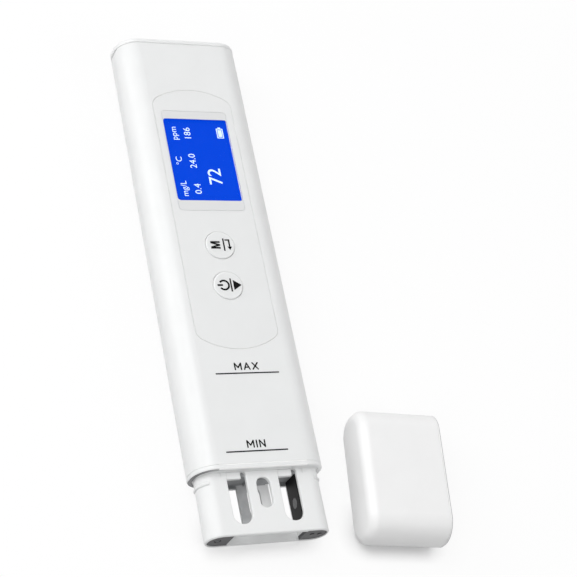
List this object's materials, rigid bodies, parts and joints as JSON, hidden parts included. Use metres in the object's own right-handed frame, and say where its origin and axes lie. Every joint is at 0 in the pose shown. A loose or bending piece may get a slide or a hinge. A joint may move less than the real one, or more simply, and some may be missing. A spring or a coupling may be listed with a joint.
{
  "type": "water quality tester",
  "caption": "Pen-type water quality tester with colour display, buttons and slotted probe chamber, with its loose protective cap beside it.",
  "frame": {"origin": "centre of the flat back of the body sleeve, which lies on the floor", "axes": "+X across the width, +Y along the body towards the battery cap, +Z out of the front face"},
  "size_m": [0.0826, 0.1776, 0.0159],
  "materials": {
    "white_shell": "satin",
    "panel": "satin",
    "window": "clear",
    "display": "lit",
    "backlight": "satin",
    "light_plastic": "satin",
    "grey_frame": "matte",
    "amber_film": "gloss",
    "black_plastic": "matte",
    "switch_metal": "satin",
    "orange_plastic": "matte",
    "board": "gloss",
    "chip": "matte",
    "tan_ceramic": "matte",
    "ivory_plastic": "matte",
    "lead_red": "satin",
    "steel": "brushed",
    "spring_steel": "polished",
    "cell_wrap": "satin",
    "grey_rubber": "matte",
    "leg_seal": "matte",
    "clear_lens": "clear",
    "lamp_clear": "clear",
    "gold_can": "satin",
    "black_pin": "satin"
  },
  "bodies": {
    "tester": {"body_sleeve": "white_shell", "front_panel": "panel", "display_window": "window", "display_glass": "display", "backlight_plate": "backlight", "display_frame": "light_plastic", "display_flex": "amber_film", "mode_switch": "switch_metal", "power_switch": "switch_metal", "main_board": "board", "processor": "chip", "board_components": "tan_ceramic", "buzzer": "chip", "flex_connector": "ivory_plastic", "sensor_connector": "ivory_plastic", "sensor_leads": "lead_red", "board_screws": "steel", "inner_frame": "grey_frame", "frame_screws": "steel", "left_cell": "cell_wrap", "right_cell": "cell_wrap", "spring_contact": "spring_steel", "flat_contact": "spring_steel", "probe_housing": "white_shell", "probe_core": "light_plastic", "lamp_holder": "black_plastic", "sensor_holder": "black_plastic", "uv_lamp": "lamp_clear", "light_sensor": "gold_can", "lamp_lens": "clear_lens", "sensor_lens": "clear_lens", "lamp_board": "board", "sensor_board": "board", "conductivity_pins": "black_pin", "temperature_probe": "steel", "left_leg_plug": "leg_seal", "right_leg_plug": "leg_seal", "probe_seal": "grey_rubber"},
    "mode_key": {"mode_button": "panel", "mode_plunger": "orange_plastic"},
    "power_key": {"power_button": "panel", "power_plunger": "orange_plastic"},
    "battery_door": {"battery_cap": "white_shell", "cap_gasket": "grey_rubber", "bridge_contact": "spring_steel"},
    "loose_cap": {"protective_cap": "white_shell"}
  },
  "joints": [
    {"name": "mode_press", "type": "slide", "parent": "tester", "child": "mode_key", "axis": [0, 0, -1], "range_m": [0, 0.00035], "stiffness_N_per_m": 4000, "springref_m": -0.0002},
    {"name": "power_press", "type": "slide", "parent": "tester", "child": "power_key", "axis": [0, 0, -1], "range_m": [0, 0.00035], "stiffness_N_per_m": 4000, "springref_m": -0.0002},
    {"name": "battery_cap_pull", "type": "slide", "parent": "tester", "child": "battery_door", "axis": [0, 1, 0], "range_m": [0, 0.03]},
    {"name": "cap_pick_up", "type": "slide", "parent": "tester", "child": "loose_cap", "axis": [0, 0, 1], "range_m": [0, 0.06]}
  ]
}
